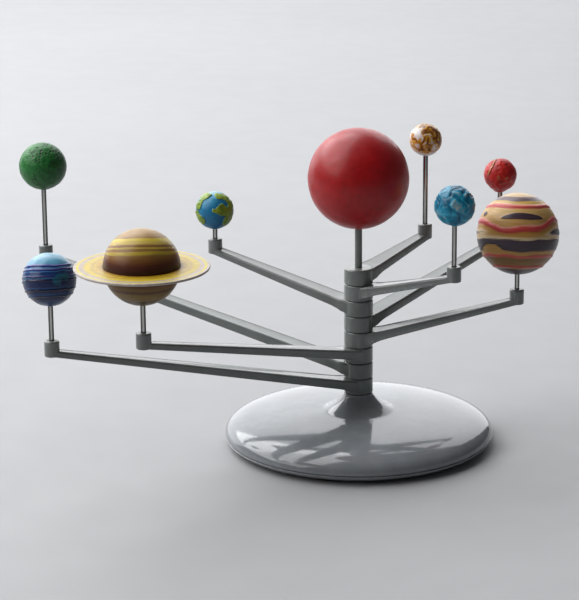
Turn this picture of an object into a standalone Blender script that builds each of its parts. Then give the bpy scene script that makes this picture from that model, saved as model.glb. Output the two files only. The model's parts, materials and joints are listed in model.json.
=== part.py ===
"""Desk orrery: a sun on a fixed post and eight planets on arms that swing about it.

The base dome and its tray stand on the table. A post is pushed into the dome's neck, eight arm hubs
are threaded on the post as a stack of rings, and a thinner rod carries the sun above them. Every arm
rises outwards to a small cup, where a steel rod holds one planet. The origin is on the post's axis
at table level, +Z up. Lengths are in metres.
"""

import math

import bmesh
import bpy
from mathutils import Vector

MM = 0.001

# Fits
GAP = 0.3 * MM                # between pieces that rest on each other
PRESS_GAP = 0.1 * MM          # around a rod in its hole
RUNNING_GAP = 0.1 * MM        # between the post and a hub that turns on it
SUN_ROD_GAP = 0.15 * MM       # between the sun's rod and the top hub, which turns round it
OVERCUT = 1.0 * MM            # how far a cutter stands out of what it cuts

# Base
BASE_RADIUS = 75.0 * MM
RIM_HEIGHT = 5.0 * MM         # the widest level of the base, above the table
DOME_RISE = 13.8 * MM         # from the rim to where the dome would close
DOME_POWER = 2.8              # over 2 makes the dome flatter on top, with rounder shoulders
DOME_STEPS = 10
SHELL_WALL = 2.5 * MM
FOOT_RADIUS = 60.0 * MM       # the flat part of the tray that touches the table
NECK_RADIUS = 8.0 * MM
NECK_FLARE = 12.0 * MM        # how far the neck spreads before it runs out in the dome
NECK_POWER = 1.3              # 2 would make the flare a quarter of an ellipse, and 1 a straight cone
NECK_FLARE_STEPS = 8
NECK_TOP = 28.7 * MM
NECK_COLLAR = 1.0 * MM        # straight part of the neck over the flare
POST_HOLE_FLOOR = 13.0 * MM
BOSS_RADIUS = 7.0 * MM        # tube under the dome that holds the post
LIP_INSET = 1.0 * MM          # the tray's locating lip stands this far inside the dome's wall
LIP_WALL = 1.6 * MM
LIP_HEIGHT = 2.0 * MM
LIP_SLOPE_RUN = 3.0 * MM      # the slope inside the lip starts this far in
LIP_SLOPE_DROP = 1.0 * MM     # and ends this far below the rim
TRAY_EDGE_STEPS = 5
BASE_STEPS = 48

# Post and sun
POST_RADIUS = 4.2 * MM
POST_CHAMFER = 0.5 * MM
POST_HEAD_GAP = 0.6 * MM      # between the post's top and the top hub's closed end
POST_STEPS = 24
SUN_ROD_RADIUS = 2.05 * MM
SUN_ROD_DEPTH = 18.0 * MM     # how far it goes down into the post
SUN_RADIUS = 27.8 * MM
SUN_HEIGHT = 151.0 * MM
SUN_STEPS = 28

# Hub stack
HUB_RADIUS = 8.0 * MM
HUB_PITCH = 9.0 * MM
HUB_CHAMFER = 0.35 * MM
TOP_HUB_EDGE = 0.9 * MM       # rounding of the top hub's upper edge
HUB_STEPS = 28
STACK_BOTTOM = 29.0 * MM
CAP_WALL = 2.2 * MM           # the top hub is closed over the post except for the sun rod

# Arms
ARM_RISE = math.tan(math.radians(14.0))
ARM_ROOT_WIDTH = 13.8 * MM
ARM_TIP_WIDTH = 7.4 * MM
ARM_ABOVE_HUB = 2.1 * MM      # top of the arm over the hub's middle, at the axis
ARM_BELOW_HUB = 3.3 * MM
ARM_TIP_ABOVE = 1.8 * MM      # the same two, at the cup
ARM_TIP_BELOW = 1.8 * MM
ARM_EDGE = 1.3 * MM           # rounding of the long upper edges
ARM_LOWER_EDGE = 0.35 * MM    # chamfer of the lower ones
ARM_START = 2.0 * MM          # where the bar begins inside its hub
ARM_ROOT_FILLET = 6.0 * MM    # length over which the arm spreads into its hub
ARM_ROOT_SPREAD = 1.4 * MM
ARM_ROOT_DROP = 1.5 * MM
ROUND_EDGE_STEPS = 3

# Cups and planet rods
CUP_RADIUS = 4.0 * MM
CUP_HEIGHT = 8.5 * MM
CUP_EDGE = 0.8 * MM
CUP_FLOOR = 2.0 * MM
CUP_STEPS = 16
ROD_RADIUS = 1.4 * MM
ROD_CHAMFER = 0.25            # share of the rod's radius
ROD_STEPS = 12
ROD_IN_BALL = 0.55            # share of the ball's radius that the rod goes in
LARGE_BALL = 15.0 * MM        # balls over this radius are given more steps
LARGE_BALL_STEPS = 24
SMALL_BALL_STEPS = 20

# Saturn's ring
RING_OUTER = 34.7 * MM
RING_THICKNESS = 1.2 * MM
RING_EDGE = 0.35 * MM
RING_STEPS = 40

# Order from the top of the stack down:
# name, arm's turn from +X, axis to cup, cup's top to ball's centre, ball's radius, colour
PLANETS = (
    ("mercury", 44.6, 52.7, 48.1, 9.2, (0.62, 0.44, 0.24)),
    ("venus", -27.7, 58.3, 33.7, 11.0, (0.12, 0.40, 0.62)),
    ("earth", 155.0, 89.4, 16.2, 10.7, (0.05, 0.30, 0.50)),
    ("mars", 42.2, 110.3, 31.9, 9.5, (0.60, 0.07, 0.05)),
    ("jupiter", -1.1, 87.5, 31.4, 22.5, (0.70, 0.48, 0.22)),
    ("saturn", 225.7, 156.6, 34.5, 19.7, (0.48, 0.30, 0.12)),
    ("uranus", 160.5, 191.3, 46.2, 13.5, (0.08, 0.34, 0.14)),
    ("neptune", 208.8, 181.9, 32.8, 13.9, (0.06, 0.14, 0.42)),
)

GREY = (0.16, 0.17, 0.165)
STEEL = (0.42, 0.42, 0.40)
SUN_RED = (0.50, 0.02, 0.03)
RING_CREAM = (0.75, 0.66, 0.52)


def clear_scene():
    for old in list(bpy.data.objects):
        bpy.data.objects.remove(old, do_unlink=True)


def paint(name, colour, roughness, metallic=0.0):
    material = bpy.data.materials.new(name)
    material.use_nodes = True
    shader = material.node_tree.nodes["Principled BSDF"]
    shader.inputs["Base Color"].default_value = (*colour, 1.0)
    shader.inputs["Roughness"].default_value = roughness
    shader.inputs["Metallic"].default_value = metallic
    return material


def make_object(name, bm, material=None, smooth_angle=35.0):
    """A named object from a bmesh, with its normals facing out and its round parts smooth."""
    bmesh.ops.recalc_face_normals(bm, faces=bm.faces)
    mesh = bpy.data.meshes.new(name)
    bm.to_mesh(mesh)
    bm.free()
    mesh.shade_smooth()
    mesh.set_sharp_from_angle(angle=math.radians(smooth_angle))
    made = bpy.data.objects.new(name, mesh)
    bpy.context.scene.collection.objects.link(made)
    if material:
        mesh.materials.append(material)
    return made


def arc(centre, radii, start, end, steps):
    """Points of an elliptical arc in the (radius, height) plane, both ends included."""
    turns = [math.radians(start + (end - start) * i / steps) for i in range(steps + 1)]
    return [(centre[0] + radii[0] * math.cos(t), centre[1] + radii[1] * math.sin(t)) for t in turns]


def turned(profile, steps, centre=(0.0, 0.0, 0.0), closed=False):
    """A bmesh turned about a vertical axis through centre.

    The profile runs from the axis round to the axis again, or is a closed loop clear of the axis.
    """
    bm = bmesh.new()
    rows = []
    for radius, height in profile:
        if radius < 1e-7:
            rows.append([bm.verts.new((centre[0], centre[1], centre[2] + height))])
            continue
        row = []
        for i in range(steps):
            turn = 2.0 * math.pi * (i + 0.5) / steps
            offset = Vector((radius * math.cos(turn), radius * math.sin(turn), height))
            row.append(bm.verts.new(Vector(centre) + offset))
        rows.append(row)
    pairs = list(zip(rows, rows[1:]))
    if closed:
        pairs.append((rows[-1], rows[0]))
    for upper, lower in pairs:
        for i in range(steps):
            j = (i + 1) % steps
            above = (upper[i % len(upper)], upper[j % len(upper)])
            below = (lower[j % len(lower)], lower[i % len(lower)])
            bm.faces.new(list(dict.fromkeys(above + below)))
    return bm


def hidden_tool(made, owner):
    """Marks an object as a Boolean's operand and lets it follow the piece it shapes."""
    made.hide_render = True
    made.display_type = "WIRE"
    made.parent = owner
    return made


def combine(target, tool, operation):
    modifier = target.modifiers.new(operation.lower(), "BOOLEAN")
    modifier.operation = operation
    modifier.object = tool


def dome_level(radius, rim, rise):
    """Height of the dome's superellipse over a radius."""
    return RIM_HEIGHT + rise * (1.0 - (radius / rim) ** DOME_POWER) ** (1.0 / DOME_POWER)


def dome_curve(start_radius, rim, rise):
    """The dome's outline from a radius out to just above the rim."""
    power = 2.0 / DOME_POWER
    start = math.acos((start_radius / rim) ** (1.0 / power))
    turns = [start * (1.0 - i / DOME_STEPS) for i in range(DOME_STEPS)]
    return [(rim * math.cos(t) ** power, RIM_HEIGHT + rise * math.sin(t) ** power) for t in turns]


def neck_flare():
    """The neck's outline from its collar outwards: a quarter of a superellipse that stands on the dome."""
    lift = NECK_TOP - NECK_COLLAR - dome_level(NECK_RADIUS, BASE_RADIUS, DOME_RISE)
    power = 2.0 / NECK_POWER
    points = []
    for i in range(NECK_FLARE_STEPS):
        turn = 0.5 * math.pi * i / NECK_FLARE_STEPS
        radius = NECK_RADIUS + NECK_FLARE * (1.0 - math.cos(turn) ** power)
        level = dome_level(radius, BASE_RADIUS, DOME_RISE)
        points.append((radius, level + lift * (1.0 - math.sin(turn) ** power)))
    return points


def base_dome(grey):
    """The upper shell: a low dome with a flared neck, hollow under it, with a tube for the post."""
    hole = POST_RADIUS + PRESS_GAP
    seam = RIM_HEIGHT + GAP
    inner = BASE_RADIUS - SHELL_WALL
    profile = [(0.0, POST_HOLE_FLOOR), (hole, POST_HOLE_FLOOR), (hole, NECK_TOP), (NECK_RADIUS, NECK_TOP)]
    profile += neck_flare() + dome_curve(NECK_RADIUS + NECK_FLARE, BASE_RADIUS, DOME_RISE)
    profile += [(BASE_RADIUS, seam), (inner, seam)]
    profile += reversed(dome_curve(BOSS_RADIUS, inner, DOME_RISE - SHELL_WALL))
    profile += [(BOSS_RADIUS, POST_HOLE_FLOOR - SHELL_WALL), (0.0, POST_HOLE_FLOOR - SHELL_WALL)]
    return make_object("base_dome", turned(profile, BASE_STEPS), grey)


def base_tray(grey):
    """The lower shell: a flat plate whose edge turns up to the rim, with a lip that locates the dome."""
    lip_outer = BASE_RADIUS - SHELL_WALL - LIP_INSET
    lip_inner = lip_outer - LIP_WALL
    lip_top = RIM_HEIGHT + LIP_HEIGHT
    edge = (BASE_RADIUS - FOOT_RADIUS, RIM_HEIGHT)
    profile = [(0.0, SHELL_WALL), (lip_inner - LIP_SLOPE_RUN, SHELL_WALL)]
    profile += [(lip_inner, RIM_HEIGHT - LIP_SLOPE_DROP), (lip_inner, lip_top)]
    profile += [(lip_outer, lip_top), (lip_outer, RIM_HEIGHT)]
    profile += arc((FOOT_RADIUS, RIM_HEIGHT), edge, 0.0, -90.0, TRAY_EDGE_STEPS) + [(0.0, 0.0)]
    return make_object("base_tray", turned(profile, BASE_STEPS), grey)


def centre_post(grey):
    """The post that the hubs turn on, with a blind hole in its top for the sun's rod."""
    bottom = POST_HOLE_FLOOR + GAP
    top = STACK_BOTTOM + len(PLANETS) * HUB_PITCH - CAP_WALL - POST_HEAD_GAP
    hole = SUN_ROD_RADIUS + PRESS_GAP
    floor = top - SUN_ROD_DEPTH
    narrow = POST_RADIUS - POST_CHAMFER
    profile = [(0.0, floor), (hole, floor), (hole, top), (narrow, top), (POST_RADIUS, top - POST_CHAMFER)]
    profile += [(POST_RADIUS, bottom + POST_CHAMFER), (narrow, bottom), (0.0, bottom)]
    return make_object("centre_post", turned(profile, POST_STEPS), grey), floor + GAP


def rod(name, centre, bottom, top, radius, material, steps=ROD_STEPS):
    """A plain rod with small chamfers on both ends."""
    chamfer = ROD_CHAMFER * radius
    profile = [(0.0, top), (radius - chamfer, top), (radius, top - chamfer)]
    profile += [(radius, bottom + chamfer), (radius - chamfer, bottom), (0.0, bottom)]
    return make_object(name, turned(profile, steps, centre), material)


def ball(name, centre, radius, hole_radius, hole_depth, material, steps):
    """A ball with a blind hole in its underside for a rod."""
    rings = steps // 2
    mouth = math.degrees(math.asin(hole_radius / radius))
    outside = [(0.0, radius)] + arc((0.0, 0.0), (radius, radius), 90.0, -90.0 + mouth, rings)[1:]
    floor = hole_depth - radius
    profile = outside + [(hole_radius, floor), (0.0, floor)]
    return make_object(name, turned(profile, steps, centre), material)


def saturn_ring(centre, globe_radius, material):
    """A flat ring with softened edges, pushed over the globe to its equator."""
    inner = globe_radius + GAP
    half = RING_THICKNESS / 2.0
    loop = [(inner, half), (RING_OUTER - RING_EDGE, half), (RING_OUTER, half - RING_EDGE)]
    loop += [(RING_OUTER, RING_EDGE - half), (RING_OUTER - RING_EDGE, -half), (inner, -half)]
    return make_object("saturn_ring", turned(loop, RING_STEPS, centre, closed=True), material)


def hub_blank(is_top):
    """A hub ring before its holes are cut. The top one has a fully rounded upper edge."""
    half = (HUB_PITCH - GAP) / 2.0
    upper_edge = TOP_HUB_EDGE if is_top else HUB_CHAMFER
    edge_steps = ROUND_EDGE_STEPS if is_top else 1
    corner = (HUB_RADIUS - upper_edge, half - upper_edge)
    profile = [(0.0, half)] + arc(corner, (upper_edge, upper_edge), 90.0, 0.0, edge_steps)
    profile += [(HUB_RADIUS, HUB_CHAMFER - half), (HUB_RADIUS - HUB_CHAMFER, -half), (0.0, -half)]
    return turned(profile, HUB_STEPS)


def arm_section(along, reach):
    """The arm's cross-section at a distance along it: width, top and bottom at the hub's level 0."""
    share = along / reach
    width = ARM_ROOT_WIDTH + (ARM_TIP_WIDTH - ARM_ROOT_WIDTH) * share
    top = ARM_ABOVE_HUB + (ARM_TIP_ABOVE - ARM_ABOVE_HUB) * share + along * ARM_RISE
    bottom = -ARM_BELOW_HUB + (ARM_BELOW_HUB - ARM_TIP_BELOW) * share + along * ARM_RISE
    near_hub = max(0.0, 1.0 - max(0.0, along - HUB_RADIUS) / ARM_ROOT_FILLET) ** 2
    return width + ARM_ROOT_SPREAD * near_hub, top, bottom - ARM_ROOT_DROP * near_hub


def arm_bar(reach):
    """The tapered bar from the hub to the cup: rounded along its upper edges, crisp below."""
    root_end = HUB_RADIUS + ARM_ROOT_FILLET
    stations = [ARM_START] + [HUB_RADIUS + ARM_ROOT_FILLET * share for share in (0.0, 0.25, 0.6, 1.0)]
    stations += [(root_end + reach) / 2.0, reach]
    bm = bmesh.new()
    rows = []
    for along in stations:
        width, top, bottom = arm_section(along, reach)
        side = width / 2.0
        outline = arc((side - ARM_EDGE, top - ARM_EDGE), (ARM_EDGE, ARM_EDGE), 90.0, 0.0, ROUND_EDGE_STEPS)
        outline += [(side, bottom + ARM_LOWER_EDGE), (side - ARM_LOWER_EDGE, bottom)]
        outline += [(-across, up) for across, up in reversed(outline)]
        rows.append([bm.verts.new((along, across, up)) for across, up in outline])
    count = len(rows[0])
    for near, far in zip(rows, rows[1:]):
        for i in range(count):
            j = (i + 1) % count
            bm.faces.new((near[i], near[j], far[j], far[i]))
    bm.faces.new(rows[0])
    bm.faces.new(list(reversed(rows[-1])))
    return bm


def cup_levels(reach):
    """The cup's underside and its mouth, from the hub's middle."""
    bottom = arm_section(reach, reach)[2]
    return bottom, bottom + CUP_HEIGHT


def cup_blank(reach):
    """The round cup at the arm's end, before its hole is cut."""
    bottom, top = cup_levels(reach)
    corner = (CUP_RADIUS - CUP_EDGE, top - CUP_EDGE)
    profile = [(0.0, top)] + arc(corner, (CUP_EDGE, CUP_EDGE), 90.0, 0.0, ROUND_EDGE_STEPS)
    profile += [(CUP_RADIUS, bottom + ARM_LOWER_EDGE), (CUP_RADIUS - ARM_LOWER_EDGE, bottom), (0.0, bottom)]
    return turned(profile, CUP_STEPS, (reach, 0.0, 0.0))


def post_bore(is_top):
    """The cutter for a hub's hole. In the top hub it narrows to let only the sun's rod through."""
    reach = HUB_PITCH / 2.0 + OVERCUT
    hole = POST_RADIUS + RUNNING_GAP
    bore = [(0.0, reach), (hole, reach)]
    if is_top:
        shoulder = HUB_PITCH / 2.0 - CAP_WALL
        rod_hole = SUN_ROD_RADIUS + SUN_ROD_GAP
        bore = [(0.0, reach), (rod_hole, reach), (rod_hole, shoulder), (hole, shoulder)]
    return turned(bore + [(hole, -reach), (0.0, -reach)], POST_STEPS)


def cup_socket(reach):
    """The cutter for the blind hole in a cup."""
    bottom, top = cup_levels(reach)
    hole = ROD_RADIUS + PRESS_GAP
    floor = bottom + CUP_FLOOR
    profile = [(0.0, top + OVERCUT), (hole, top + OVERCUT), (hole, floor), (0.0, floor)]
    return turned(profile, ROD_STEPS, (reach, 0.0, 0.0))


def arm(name, level, turn, reach, is_top, grey):
    """One arm: hub ring, bar and cup in one moulding, with its origin on the post's axis."""
    made = make_object(f"{name}_arm", hub_blank(is_top), grey)
    bar = make_object(f"{name}_bar_shape", arm_bar(reach))
    cup = make_object(f"{name}_cup_shape", cup_blank(reach))
    post_cutter = make_object(f"{name}_post_hole", post_bore(is_top))
    rod_cutter = make_object(f"{name}_rod_hole", cup_socket(reach))
    shapes = ((bar, "UNION"), (cup, "UNION"), (post_cutter, "DIFFERENCE"), (rod_cutter, "DIFFERENCE"))
    for tool, operation in shapes:
        combine(made, hidden_tool(tool, made), operation)
    made.location = (0.0, 0.0, level)
    made.rotation_euler = (0.0, 0.0, math.radians(turn))
    return made


def planet(index, name, turn, reach, lift, radius, colour, grey, steel):
    """An arm with its steel rod and its ball, which are carried by the arm."""
    level = STACK_BOTTOM + (len(PLANETS) - index - 0.5) * HUB_PITCH
    carrier = arm(name, level, turn, reach, index == 0, grey)
    bottom, top = cup_levels(reach)
    centre = top + lift
    depth = ROD_IN_BALL * radius
    foot = bottom + CUP_FLOOR + GAP
    tip = centre - radius + depth - GAP
    hole = ROD_RADIUS + PRESS_GAP
    steps = LARGE_BALL_STEPS if radius > LARGE_BALL else SMALL_BALL_STEPS
    skin = paint(f"{name}_paint", colour, 0.4)
    pieces = [
        rod(f"{name}_rod", (reach, 0.0, 0.0), foot, tip, ROD_RADIUS, steel),
        ball(f"{name}_ball", (reach, 0.0, centre), radius, hole, depth, skin, steps),
    ]
    if name == "saturn":
        cream = paint("ring_cream", RING_CREAM, 0.5)
        pieces.append(saturn_ring((reach, 0.0, centre), radius, cream))
    for piece in pieces:
        piece.parent = carrier


def build():
    clear_scene()
    grey = paint("grey_plastic", GREY, 0.35)
    steel = paint("steel", STEEL, 0.25, 1.0)
    sun_paint = paint("sun_red", SUN_RED, 0.45)
    base_dome(grey)
    base_tray(grey)
    rod_foot = centre_post(grey)[1]
    sun_depth = ROD_IN_BALL * SUN_RADIUS
    rod_tip = SUN_HEIGHT - SUN_RADIUS + sun_depth - GAP
    sun_hole = SUN_ROD_RADIUS + PRESS_GAP
    sun_centre = (0.0, 0.0, SUN_HEIGHT)
    rod("sun_rod", (0.0, 0.0, 0.0), rod_foot, rod_tip, SUN_ROD_RADIUS, grey, POST_STEPS)
    ball("sun_ball", sun_centre, SUN_RADIUS, sun_hole, sun_depth, sun_paint, SUN_STEPS)
    for index, (name, turn, reach, lift, radius, colour) in enumerate(PLANETS):
        planet(index, name, turn, reach * MM, lift * MM, radius * MM, colour, grey, steel)


build()
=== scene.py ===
"""Looks of the desk orrery: moulded grey plastic stand and arms, steel rods, hand-painted balls.

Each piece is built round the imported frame: the joints give the hubs' levels, and the nodes' boxes
give where each rod, cup and ball stands. Lengths are in metres. The paint on each ball is placed
as it is seen from the front: u to the right, v up and w towards the camera, on a ball of radius 1.
"""

import json
import math

import bmesh
import bpy
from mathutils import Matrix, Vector, noise


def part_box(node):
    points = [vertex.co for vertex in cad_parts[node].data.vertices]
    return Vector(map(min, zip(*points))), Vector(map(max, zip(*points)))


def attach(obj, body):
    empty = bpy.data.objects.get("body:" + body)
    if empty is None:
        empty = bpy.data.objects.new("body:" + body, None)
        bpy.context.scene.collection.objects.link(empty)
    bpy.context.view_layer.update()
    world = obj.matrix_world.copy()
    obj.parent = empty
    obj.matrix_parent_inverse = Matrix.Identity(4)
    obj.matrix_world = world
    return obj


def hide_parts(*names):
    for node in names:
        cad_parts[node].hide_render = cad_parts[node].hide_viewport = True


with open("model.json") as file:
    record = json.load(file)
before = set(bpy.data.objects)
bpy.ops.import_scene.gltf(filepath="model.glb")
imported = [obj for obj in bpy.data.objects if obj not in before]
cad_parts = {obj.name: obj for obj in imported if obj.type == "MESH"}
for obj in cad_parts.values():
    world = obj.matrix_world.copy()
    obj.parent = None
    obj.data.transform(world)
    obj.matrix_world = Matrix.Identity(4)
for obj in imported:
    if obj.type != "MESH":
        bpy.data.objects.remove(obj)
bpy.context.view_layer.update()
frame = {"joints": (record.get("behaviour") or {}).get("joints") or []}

MM = 0.001
LEVELS = {joint["child"]: joint["pos_m"][2] for joint in frame["joints"]}
TOP_HUB = max(LEVELS, key=LEVELS.get)

# Mouldings
HUB_RADIUS = 8.0 * MM          # also the neck's, just under the lowest hub
HUB_HEIGHT = 8.7 * MM
HUB_EDGE = 0.25 * MM
HUB_UPPER_EDGE = 0.9 * MM
TOP_HUB_EDGE = 1.2 * MM
CAP_WALL = 2.2 * MM
POST_HOLE_RADIUS = 4.3 * MM
SUN_ROD_HOLE_RADIUS = 2.15 * MM
CUT_PAST = 1.0 * MM            # how far a cutter stands out of what it cuts
ARM_RISE = math.tan(math.radians(14.0))
ARM_ROOT_WIDTH = 13.8 * MM
ARM_TIP_WIDTH = 7.4 * MM
ARM_ABOVE_HUB = 2.1 * MM
ARM_BELOW_HUB = 3.3 * MM
ARM_TIP_HALF = 1.8 * MM
ARM_EDGE = 1.3 * MM
ARM_LOWER_EDGE = 0.5 * MM
ARM_START = 2.0 * MM           # inside the hub, where the hole for the post takes it away
ARM_SHARP_ANGLE = 48.0
ARM_ROOT_FILLET = 7.0 * MM
FILLET_WIDTH = 0.8 * MM        # what the fillet adds to the arm at the hub
FILLET_TOP = 0.5 * MM
FILLET_BOTTOM = 0.8 * MM
BEAD_WIDTH = 0.9 * MM          # the raised line along each upper edge of an arm
BEAD_HEIGHT = 0.3 * MM
CUP_RADIUS = 4.0 * MM
CUP_HEIGHT = 8.5 * MM
CUP_EDGE = 1.0 * MM
CUP_FLOOR = 2.0 * MM
ROD_EDGE_SHARE = 0.3           # how much of a rod's radius is taken up by its rounded ends
PIN_HOLE_RADIUS = 1.5 * MM
RIM_HEIGHT = 5.0 * MM
DOME_RISE = 13.8 * MM
DOME_POWER = 2.8
SHELL_WALL = 2.5 * MM
NECK_FLARE = 12.0 * MM         # how far the neck spreads before it runs out in the dome
NECK_POWER = 1.3               # 2 would make the flare a quarter of an ellipse, and 1 a straight cone
NECK_COLLAR = 1.0 * MM
NECK_TOP_EDGE = 0.3 * MM
BOSS_RADIUS = 7.0 * MM
POST_HOLE_FLOOR = 13.0 * MM
FOOT_RADIUS = 60.0 * MM
RIM_EDGE = 0.35 * MM           # how far the seam's two edges are drawn in
LIP_GAP = 1.0 * MM             # between the tray's lip and the dome's wall
LIP_WALL = 1.6 * MM
LIP_SLOPE_RUN = 3.0 * MM
LIP_SLOPE_DROP = 1.0 * MM
RING_RECESS = 0.6 * MM         # height of the moulded rings under the tray
OUTER_RING_WIDTH = 4.0 * MM
INNER_RING = (16.0 * MM, 20.0 * MM)    # its inner and outer radius
SATURN_RING_GAP = 0.3 * MM
SATURN_RING_WAVE = 0.10 * MM
SATURN_RING_GROOVE = 0.12 * MM
FLOOR_DROP = 0.1 * MM          # keeps the floor and the foot from sharing a plane

# Camera and what it looks at
TARGET = Vector((0.0, 0.0, 0.065))
CAMERA_DISTANCE = 1.38
CAMERA_ELEVATION = math.radians(16.8)
CAMERA_BACK = Vector((0.0, -math.cos(CAMERA_ELEVATION), math.sin(CAMERA_ELEVATION)))
CAMERA_PLACE = TARGET + CAMERA_BACK * CAMERA_DISTANCE
CAMERA_LENS = 149.0
CAMERA_SHIFT = (-0.115, 0.049)

BALL_FINENESS = 7     # how often a ball's faces are divided
TURNED_STEPS = 160
WELD_DISTANCE = 0.002 * MM
FAR_OUTSIDE = -9.0             # what an oval patch returns on the far side of its ball


# ---------------------------------------------------------------- materials

def linear(red, green, blue):
    """A display colour, 0 to 255, as the linear colour that nodes take."""
    parts = []
    for value in (red, green, blue):
        share = value / 255.0
        parts.append(share / 12.92 if share <= 0.04045 else ((share + 0.055) / 1.055) ** 2.4)
    return (*parts, 1.0)


class Surface:
    """A material with a Principled shader, and short ways to add nodes to it."""

    def __init__(self, name):
        self.material = bpy.data.materials.new(name)
        self.material.use_nodes = True
        self.tree = self.material.node_tree
        self.shader = self.tree.nodes["Principled BSDF"]

    def feed(self, socket, value):
        if isinstance(value, bpy.types.NodeSocket):
            self.tree.links.new(value, socket)
        else:
            socket.default_value = value

    def node(self, kind, inputs, **settings):
        made = self.tree.nodes.new(kind)
        for key, value in settings.items():
            setattr(made, key, value)
        for key, value in inputs.items():
            self.feed(made.inputs[key], value)
        return made

    def set(self, **inputs):
        for key, value in inputs.items():
            self.feed(self.shader.inputs[key.replace("_", " ")], value)

    def place(self):
        """Coordinates of the piece itself, so that a pattern stays on it when it moves."""
        return self.node("ShaderNodeTexCoord", {}).outputs["Object"]

    def attribute(self, name):
        return self.node("ShaderNodeAttribute", {}, attribute_name=name).outputs["Fac"]

    def stretched(self, across, up):
        inputs = {"Vector": self.place(), "Scale": (across, across, up)}
        return self.node("ShaderNodeMapping", inputs).outputs["Vector"]

    def noise(self, scale, detail=3.0, roughness=0.5, vector=None):
        inputs = {
            "Vector": vector or self.place(), "Scale": scale, "Detail": detail, "Roughness": roughness,
        }
        return self.node("ShaderNodeTexNoise", inputs).outputs["Fac"]

    def spread(self, value, low, high, to_low=0.0, to_high=1.0):
        inputs = {
            "Value": value, "From Min": low, "From Max": high, "To Min": to_low, "To Max": to_high,
        }
        return self.node("ShaderNodeMapRange", inputs).outputs["Result"]

    def times(self, first, second):
        return self.node("ShaderNodeMath", {0: first, 1: second}, operation="MULTIPLY").outputs[0]

    def plus(self, first, second):
        return self.node("ShaderNodeMath", {0: first, 1: second}, operation="ADD").outputs[0]

    def mix(self, share, first, second, blend="MIX"):
        made = self.node("ShaderNodeMix", {}, data_type="RGBA", blend_type=blend)
        colours = [socket for socket in made.inputs if socket.type == "RGBA"]
        self.feed(made.inputs[0], share)
        self.feed(colours[0], first)
        self.feed(colours[1], second)
        return next(socket for socket in made.outputs if socket.type == "RGBA")

    def shaded(self, colour, factor):
        grey = self.node("ShaderNodeCombineColor", {0: factor, 1: factor, 2: factor}).outputs[0]
        return self.mix(1.0, colour, grey, "MULTIPLY")

    def ramp(self, value, stops):
        """Colours along a value: stops are (value, display colour) pairs in rising order."""
        made = self.node("ShaderNodeValToRGB", {"Fac": value})
        band = made.color_ramp
        while len(band.elements) < len(stops):
            band.elements.new(1.0)
        for element, (position, _) in zip(band.elements, stops):
            element.position = position
        for element, (_, colour) in zip(band.elements, stops):
            element.color = linear(*colour)
        return made.outputs["Color"]

    def bump(self, height, strength, distance, normal=None):
        inputs = {"Height": height, "Strength": strength, "Distance": distance}
        if normal:
            inputs["Normal"] = normal
        return self.node("ShaderNodeBump", inputs).outputs["Normal"]

    def edges(self, low, high, most):
        """A mask, high where the surface bends outwards and broken up by noise; the materials make the
        colour paler there.
        """
        bend = self.node("ShaderNodeNewGeometry", {}).outputs["Pointiness"]
        broken = self.spread(self.noise(700.0, 5.0, 0.65), 0.4, 0.6, 0.2)
        return self.times(self.spread(bend, low, high, 0.0, most), broken)

    def unsteady(self, name, value, most):
        """A mesh attribute, raised or lowered by up to most where a noise value is high or low."""
        return self.plus(self.attribute(name), self.spread(value, 0.2, 0.8, -most, most))


def moulded_plastic(name, dark, light, pale, roughness, grain, coat):
    """Injection-moulded plastic: cloudy colour, fine grain, and scuffs that change the gloss."""
    surface = Surface(name)
    cloud = surface.spread(surface.noise(55.0, 4.0, 0.6), 0.35, 0.65)
    colour = surface.mix(cloud, linear(*dark), linear(*light))
    colour = surface.mix(surface.edges(0.53, 0.64, 0.55), colour, linear(*pale))
    scuff = surface.noise(260.0, 6.0, 0.7)
    waves = surface.bump(surface.noise(90.0, 2.0), 0.06, 0.0002)
    surface.set(
        Base_Color=colour,
        Roughness=surface.spread(scuff, 0.3, 0.75, roughness - 0.04, roughness + 0.08),
        Normal=surface.bump(surface.noise(2600.0, 3.0), grain, 0.00003, waves),
        Coat_Weight=coat,
        Coat_Roughness=0.05,
    )
    return surface.material


def drawn_steel():
    """Polished steel wire with fine marks and a painted reflection: bright head-on, dark towards its
    sides as if it mirrored a dim room.
    """
    surface = Surface("drawn_steel")
    marks = surface.noise(1.0, 4.0, 0.6, surface.stretched(5200.0, 160.0))
    tarnish = surface.spread(surface.noise(90.0, 4.0, 0.6), 0.4, 0.7, 1.0, 0.82)
    facing_for_painted_reflection = surface.node("ShaderNodeLayerWeight", {"Blend": 0.5}).outputs["Facing"]
    # Painted reflection: the colour is bright where the wire faces the view and dark towards its sides.
    colour = surface.ramp(facing_for_painted_reflection, [
        (0.05, (206, 205, 200)), (0.10, (150, 149, 146)), (0.17, (84, 84, 82)), (0.50, (66, 66, 65)),
        (0.85, (120, 119, 117)),
    ])
    colour = surface.shaded(colour, tarnish)
    surface.set(
        Base_Color=surface.mix(surface.edges(0.52, 0.6, 0.5), colour, linear(205, 204, 200)),
        Metallic=1.0,
        Roughness=surface.spread(marks, 0.3, 0.7, 0.08, 0.18),
        Normal=surface.bump(marks, 0.15, 0.00002),
    )
    return surface.material


def painted(surface, colour, roughness, strokes, coat, across, up):
    """Hand paint over a ball: brush marks round it, uneven gloss and paler high spots."""
    marks = surface.noise(1.0, 5.0, 0.6, surface.stretched(across, up))
    shade = surface.spread(marks, 0.3, 0.7, 0.76, 0.98)
    brush_and_edge_tone = surface.plus(shade, surface.edges(0.52, 0.6, 0.28))
    blotch = surface.noise(160.0, 4.0, 0.6)
    surface.set(
        Base_Color=surface.shaded(colour, brush_and_edge_tone),
        Roughness=surface.spread(blotch, 0.3, 0.7, roughness - 0.07, roughness + 0.10),
        Normal=surface.bump(marks, strokes, 0.00010),
        Specular_IOR_Level=0.34,
        Coat_Weight=coat,
        Coat_Roughness=0.16,
    )
    return surface.material


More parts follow.
